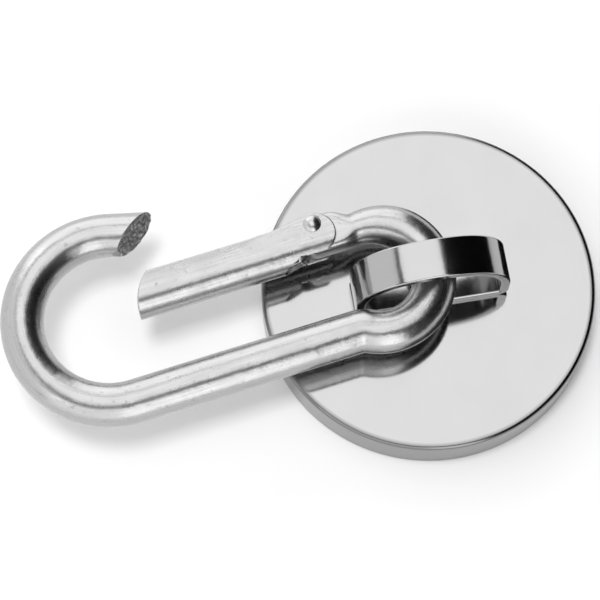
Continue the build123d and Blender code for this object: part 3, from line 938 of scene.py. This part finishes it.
class MAGNET_OT_gate(bpy.types.Operator):
    """Builds the folded sheet gate with its ears and stop tab"""

    bl_idname = "magnet.gate"
    bl_label = "Gate"

    def execute(self, context):
        """A folded sheet: half-round back, straight cheeks, a tip cut to a circle, and two ears.

        The sheet is an outer and an inner grid over the same places. Near any edge each moves towards the other by
        r - sqrt(r squared - (r - e) squared), where e is the distance to that edge, so the edges come out round.
        """
        sizes, look = context.scene.magnet_gate, context.scene.magnet_finish
        outer = context.scene.magnet_hook.rod
        inner, r = outer - sizes.sheet, sizes.edge_round

        def across(y):
            """Outer and inner (y, z) of the upper cheek and the part of the back below it, at outer place y."""
            low = np.clip(GATE_AXIS - y, 0, None)
            high = np.sqrt(outer**2 - low**2)
            return (y, high), (np.where(low > 0, GATE_AXIS - low * inner / outer, y), high * inner / outer)

        cut = math.asin((GATE_AXIS - BACK_EDGE) / outer)
        t = eased(CHEEK_STEPS)
        cheek = GATE_EDGE + t * (BACK_EDGE - GATE_EDGE)
        back = np.linspace(cut, np.pi - cut, BACK_STEPS + 2)[1:-1]
        out_y = np.concatenate([cheek, GATE_AXIS - outer * np.sin(back), cheek[::-1]])
        whole = np.ones(CHEEK_STEPS)
        facing = np.concatenate([whole, np.sign(np.cos(back)), -whole])
        cheeks = np.concatenate([whole, np.zeros(BACK_STEPS), whole])

        def edged(outside, inside, edge):
            """Rounds the sheet's edge by drawing both faces together where the edge is near."""
            thick = inside - outside
            deep = np.linalg.norm(thick, axis=-1)
            near = np.clip(edge, 0, r)
            draw = r - np.sqrt(np.clip(r**2 - (r - near) ** 2, 0, None))
            draw = np.minimum(draw, 0.45 * deep) / np.maximum(deep, MERGE)
            return outside + thick * draw[..., None], inside - thick * draw[..., None]

        def walls(a, b, sides):
            """Strips that join the edges of two grids: near rows, far rows, near columns, far columns."""
            picks = {"near": np.s_[0, :], "far": np.s_[-1, :], "left": np.s_[:, 0], "right": np.s_[:, -1]}
            level = np.linspace(0, 1, 4)[:, None, None]
            strips = []
            for at in sides:
                one, two = a[picks[at]], b[picks[at]]
                strips.append((one + level * (two - one), (0.0, 0.0)))
            return strips

        def grids(x, y_out, z_out, y_in, z_in, edge):
            outside = np.stack(np.broadcast_arrays(x, y_out, z_out + HOOK_PLANE), -1)
            inside = np.stack(np.broadcast_arrays(x, y_in, z_in + HOOK_PLANE), -1)
            return edged(outside, inside, edge)

        tip = TIP_CENTRE[0] - np.sqrt(TIP_RADIUS**2 - (out_y - TIP_CENTRE[1]) ** 2)
        arc = gone_along(np.stack([out_y, facing * across(out_y)[0][1]], -1))
        rows = eased(150)[:, None]
        end = BACK_END - BACK_SLANT * np.clip(BACK_EDGE - out_y, 0, None)
        x = tip + rows * (end - tip)
        crest = np.where(x > EAR_X, ear_edges(x)[0], GATE_EDGE)
        grow = np.where(cheeks > 0, (crest - BACK_EDGE) / (GATE_EDGE - BACK_EDGE), 1.0)
        out_y = np.where(cheeks > 0, BACK_EDGE + (out_y - BACK_EDGE) * grow, out_y)
        (out_y, out_z), (in_y, in_z) = across(out_y)
        away = np.clip((EAR_X - x) / SINK_RUN, 0, 1)
        rise = np.clip(out_y - GATE_AXIS, 0, None) / (GATE_EDGE - GATE_AXIS)
        sink = CHEEK_SINK * smooth(away) * rise**2
        out_z, in_z = facing * (out_z - sink), facing * (in_z - sink)
        to_edge = np.where(cheeks > 0, crest - out_y, 1.0)
        to_end = np.where(cheeks > 0, np.hypot(BACK_END - x, out_y - BACK_EDGE), end - x)
        edge = np.minimum(np.minimum(x - tip, to_edge), to_end)
        shell, lining = grids(x, out_y, out_z, in_y, in_z, edge)
        flow = np.stack(np.broadcast_arrays(x, arc), -1)
        sheets = [(shell, flow), (lining, flow)]
        sheets += walls(shell, lining, ["near", "left", "right"])
        bent = np.s_[-1:, CHEEK_STEPS - 1 : CHEEK_STEPS + BACK_STEPS + 1]
        end_out, end_in = shell[bent], lining[bent]
        level = np.linspace(0, 1, 4)[:, None, None]
        sheets.append((end_out + level * (end_in - end_out), (0.0, 0.0)))

        far_x = EAR_CENTRE[0] + EAR_RADIUS
        rows = np.concatenate([np.linspace(0, 0.72, 50)[:-1], 0.72 + 0.28 * np.sin(np.linspace(0, np.pi / 2, 40))])
        x = (BACK_END + rows * (far_x - BACK_END))[:, None]
        high, low = ear_edges(x)
        y = high + t * (low - high)
        (oy, oz), (iy, iz) = across(y)
        flatten = smooth(np.clip((x - BACK_END) / FLAT_RUN, 0, 1))
        iy, iz = iy + flatten * (oy - iy), iz + flatten * (inner - iz)
        iz = np.minimum(iz, oz - THINNEST)
        round_end = EAR_RADIUS - np.hypot(x - EAR_CENTRE[0], y - EAR_CENTRE[1])
        edge = np.minimum(high - y, y - low)
        edge = np.where(x > EAR_CENTRE[0], np.minimum(edge, np.abs(round_end)), edge)
        arc = y * np.ones_like(x)
        for sign in (1, -1):
            plate, under = grids(x, oy, sign * oz, iy, sign * iz, edge)
            flow = np.stack(np.broadcast_arrays(x, arc), -1)
            sheets += [(plate, flow), (under, flow)]
            sheets += walls(plate, under, ["left", "right", "far"])
        gate = [tumbled_plate("gate plate", look, 1.0)]
        piece("gate_sheet", sheets, "gate", ["gate_channel"], gate)

        tall = TAB_FOOT + TAB_TALL * np.concatenate([[0], eased(30), [1]])
        size = np.concatenate([[0], np.ones(30), [0]])
        line = np.stack(np.broadcast_arrays(TAB_X, tall, HOOK_PLANE + TAB_LIFT), -1)
        side, up = np.broadcast_to([1.0, 0, 0], line.shape), np.broadcast_to([0, 0, 1.0], line.shape)
        tab = carried(line, side, up, sizes.sheet / 2 * size, inner * size, 8.0, 64)
        piece("gate_stop_tab", [tab], "gate", [], gate)
        return {"FINISHED"}


class MAGNET_OT_spring(bpy.types.Operator):
    """Builds the gate's spring and its plunger"""

    bl_idname = "magnet.spring"
    bl_label = "Spring and Plunger"

    def execute(self, context):
        """The wire is a circle carried along a helix whose pitch shrinks to one wire at its first and last turn.

        The plunger is one outline turned round its line: nose, collar and stem.
        """
        sizes, look = context.scene.magnet_gate, context.scene.magnet_finish
        steel = plain_steel("spring steel", look, 0.75)
        wire = sizes.wire
        high, low = SPRING_HIGH.x - wire, SPRING_LOW.x + wire
        coil = (SPRING_HIGH.y - SPRING_LOW.y) / 2 - wire
        turn = np.linspace(0, sizes.turns, int(sizes.turns * 40))
        open_part = np.clip(np.minimum(turn, sizes.turns - turn) - COIL_DEAD, 0, 1)
        rise = 2 * wire * COIL_PRESS + smooth(open_part) * COIL_GAP
        gone = np.concatenate([[0], np.cumsum((rise[1:] + rise[:-1]) / 2 * np.diff(turn))])
        x = high - gone * (high - low) / gone[-1]
        a = 2 * np.pi * turn
        outward = np.stack([np.zeros_like(a), np.cos(a), np.sin(a)], -1)
        line = np.array([0, SPRING_LINE, HOOK_PLANE]) + coil * outward
        line[:, 0] = x
        ahead = np.gradient(line, axis=0)
        ahead /= np.linalg.norm(ahead, axis=1)[:, None]
        beside = np.cross(ahead, outward)
        full = np.concatenate([[0], np.full(len(a) - 2, 1.0), [0]])
        line[0], line[-1] = line[1], line[-2]
        tube = carried(line, outward, beside, wire * full, wire * full, 2.0, 14)
        ends = [(place, SPRING_LINE, HOOK_PLANE) for place in (low, high)]
        piece("gate_spring_coil", [tube], ("gate", "plunger", *ends), ["gate_spring"], [steel])

        front, back = PLUNGER_HIGH.x, PLUNGER_LOW.x
        arc = np.linspace(0, np.pi / 2, 10)
        tip = np.stack([sizes.nose * np.sin(arc) ** 0.8, front - NOSE_CROWN * (1 - np.cos(arc))], -1)
        collar, edge, stem, cut = sizes.collar, sizes.collar_chamfer, sizes.stem, sizes.stem_chamfer
        seat = front - sizes.nose_long
        heel = seat - sizes.collar_long
        rest = [
            (sizes.nose, seat), (collar - edge, seat), (collar, seat - edge), (collar, heel + edge),
            (collar - edge, heel), (stem, heel), (stem, back + cut), (stem - cut, back), (0, back),
        ]
        outline = np.vstack([tip, rest])
        rod = turned(outline, (SPRING_LINE, HOOK_PLANE), 48, along_x=True)
        piece("plunger_turned", [rod], "plunger", ["gate_plunger"], [steel])
        return {"FINISHED"}


# ---- floor, lights and camera ----
TURN = math.radians(-17.9)  # how far the camera stands round the magnet
CAMERA = Vector((-62.0, -116.9, 427.0)) * MM
LOOK = Vector((0.0899, 0.2782, -0.9563))
LENS = 146.4
FLOOR_GAP = 0.02 * MM


def from_camera_side(right, away, up):
    """A place given by how far it is to the right of the camera's line, away from it and up."""
    cos, sin = math.cos(TURN), math.sin(TURN)
    return Vector((right * cos - away * sin, right * sin + away * cos, up))


class MAGNET_OT_stage(bpy.types.Operator):
    """Sets the floor, the lights and the camera"""

    bl_idname = "magnet.stage"
    bl_label = "Stage"

    def execute(self, context):
        """A pale floor, soft boxes above, behind, in front and to the left, a lamp for the floor, and the camera."""
        scene = context.scene
        far = np.linspace(-1, 1, 3) * 3.0
        grid = np.stack(np.meshgrid(far, far, [CAD_BOX[0].z - FLOOR_GAP], indexing="ij"), -1).reshape(3, 3, 3)
        mesh = bpy.data.meshes.new("floor")
        quads = [(0, 3, 4, 1), (1, 4, 5, 2), (3, 6, 7, 4), (4, 7, 8, 5)]
        mesh.from_pydata(grid.reshape(-1, 3).tolist(), [], quads)
        floor = bpy.data.objects.new("floor", mesh)
        scene.collection.objects.link(floor)
        f = Finish("white floor")
        soft = f.noise(f.spot(), 0.4, 2.0, 0.4)
        mesh.materials.append(
            f.done(
                Base_Color=f.blend(soft, (0.61, 0.61, 0.61), (0.64, 0.64, 0.64)),
                Roughness=0.7,
                Specular_IOR_Level=0.2,
                Emission_Color=(1, 1, 1, 1),
                Emission_Strength=0.12,
            )
        )

        def lamp(name, at, aim, size, radiance, glossy=True):
            """An even rectangle of light at one place, turned to face another, with its brightness in a mirror."""
            data = bpy.data.lights.new(name, "AREA")
            data.shape, data.size, data.size_y = "RECTANGLE", size[0], size[1]
            data.energy = radiance * math.pi * size[0] * size[1]
            made = bpy.data.objects.new(name, data)
            made.location = from_camera_side(*at)
            made.rotation_mode = "QUATERNION"
            made.rotation_quaternion = (from_camera_side(*aim) - made.location).to_track_quat("-Z", "Y")
            made.visible_glossy = glossy
            scene.collection.objects.link(made)

        lamp("overhead soft box", (-0.105, 0.12, 0.90), (-0.105, 0.12, 0), (0.69, 0.90), 1.85)
        lamp("back soft box", (-0.45, 1.00, 0.66), (-0.45, 0, 0.66), (1.4, 1.30), 2.0)
        lamp("front reflector", (-0.475, -0.80, 0.55), (-0.475, 0, 0.55), (1.05, 1.10), 1.5)
        lamp("front soft box", (0.235, -0.80, 0.55), (0.235, 0, 0.55), (0.37, 1.10), 2.4)
        lamp("left soft box", (-0.875, 0.05, 0.46), (0, 0.05, -0.09), (1.6, 1.04), 1.2)
        lamp("floor fill", (-0.13, -0.05, 1.2), (0, 0, 0), (0.25, 0.25), 41.0, glossy=False)

        world = bpy.data.worlds.new("studio room")
        scene.world = world
        world.use_nodes = True
        world.node_tree.nodes["Background"].inputs["Color"].default_value = (0.004, 0.004, 0.004, 1)

        data = bpy.data.cameras.new("camera")
        data.lens, data.sensor_width = LENS, 36.0
        data.clip_start, data.clip_end = 0.01, 10.0
        camera = bpy.data.objects.new("camera", data)
        camera.location = CAMERA
        camera.rotation_mode = "QUATERNION"
        camera.rotation_quaternion = LOOK.to_track_quat("-Z", "Y")
        scene.collection.objects.link(camera)
        scene.camera = camera
        scene.view_settings.view_transform = "Standard"
        return {"FINISHED"}


class MAGNET_PT_parts(bpy.types.Panel):
    """Lists the magnet's operators and sizes in the sidebar"""

    bl_idname = "MAGNET_PT_parts"
    bl_label = "Fishing Magnet"
    bl_space_type = "VIEW_3D"
    bl_region_type = "UI"
    bl_category = "Magnet"

    def draw(self, context):
        for name in GROUPS:
            box = self.layout.box()
            group = getattr(context.scene, name)
            for key in group.bl_rna.properties.keys():
                if key not in {"rna_type", "name"}:
                    box.prop(group, key)
        for operator in OPERATORS:
            self.layout.operator(operator.bl_idname)


GROUPS = {
    "magnet_pot": PotSizes,
    "magnet_strap": StrapSizes,
    "magnet_hook": HookSizes,
    "magnet_gate": GateSizes,
    "magnet_finish": FinishChoices,
}
OPERATORS = (
    MAGNET_OT_cup,
    MAGNET_OT_core,
    MAGNET_OT_strap,
    MAGNET_OT_rivets,
    MAGNET_OT_hook,
    MAGNET_OT_gate,
    MAGNET_OT_spring,
    MAGNET_OT_stage,
)


def register():
    for kind in (*GROUPS.values(), *OPERATORS, MAGNET_PT_parts):
        bpy.utils.register_class(kind)
    for name, kind in GROUPS.items():
        setattr(bpy.types.Scene, name, PointerProperty(type=kind))


def unregister():
    for name in GROUPS:
        delattr(bpy.types.Scene, name)
    for kind in (MAGNET_PT_parts, *OPERATORS, *GROUPS.values()):
        bpy.utils.unregister_class(kind)


def main():
    register()
    for operator in OPERATORS:
        group, name = operator.bl_idname.split(".")
        getattr(getattr(bpy.ops, group), name)()


if __name__ == "__main__":
    main()
